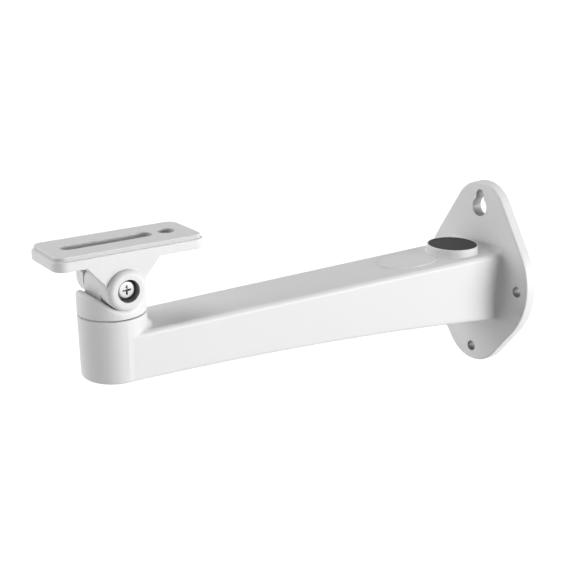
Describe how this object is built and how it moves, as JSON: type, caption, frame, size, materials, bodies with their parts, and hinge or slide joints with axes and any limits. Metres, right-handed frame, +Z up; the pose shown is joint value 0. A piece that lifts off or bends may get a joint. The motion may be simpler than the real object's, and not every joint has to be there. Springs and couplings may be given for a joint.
{
  "type": "camera wall bracket",
  "caption": "Cast wall bracket for a box camera: kite-shaped wall plate, tapered hollow arm, panning hub and a tilting camera plate with a slot and a round hole.",
  "frame": {"origin": "middle of the wall plate's main disc, between the side holes, on its back face", "axes": "+Z up, +Y into the wall, the arm runs out along -Y and +X is the side with the tilt screw's head"},
  "size_m": [0.088, 0.2989, 0.1219],
  "materials": {
    "casting_paint": "satin",
    "plug_rubber": "matte",
    "pad_paint": "matte",
    "fastener_steel": "satin"
  },
  "bodies": {
    "bracket": {"wall_arm": "casting_paint", "cable_plug": "plug_rubber"},
    "swivel": {"swivel_body": "casting_paint", "pan_bolt": "fastener_steel", "pan_spring_washer": "fastener_steel", "pan_flat_washer": "fastener_steel"},
    "cradle": {"camera_plate": "casting_paint", "camera_pad": "pad_paint", "tilt_screw": "fastener_steel", "tilt_spring_washer": "fastener_steel", "tilt_flat_washer": "fastener_steel", "tilt_nut": "fastener_steel"}
  },
  "joints": [
    {"name": "pan", "type": "hinge", "parent": "bracket", "child": "swivel", "pos_m": [0, -0.2637, 0.0293], "axis": [0, 0, 1], "continuous": true},
    {"name": "tilt", "type": "hinge", "parent": "swivel", "child": "cradle", "pos_m": [0, -0.2637, 0.0453], "axis": [1, 0, 0], "range_deg": [-30, 30]}
  ]
}
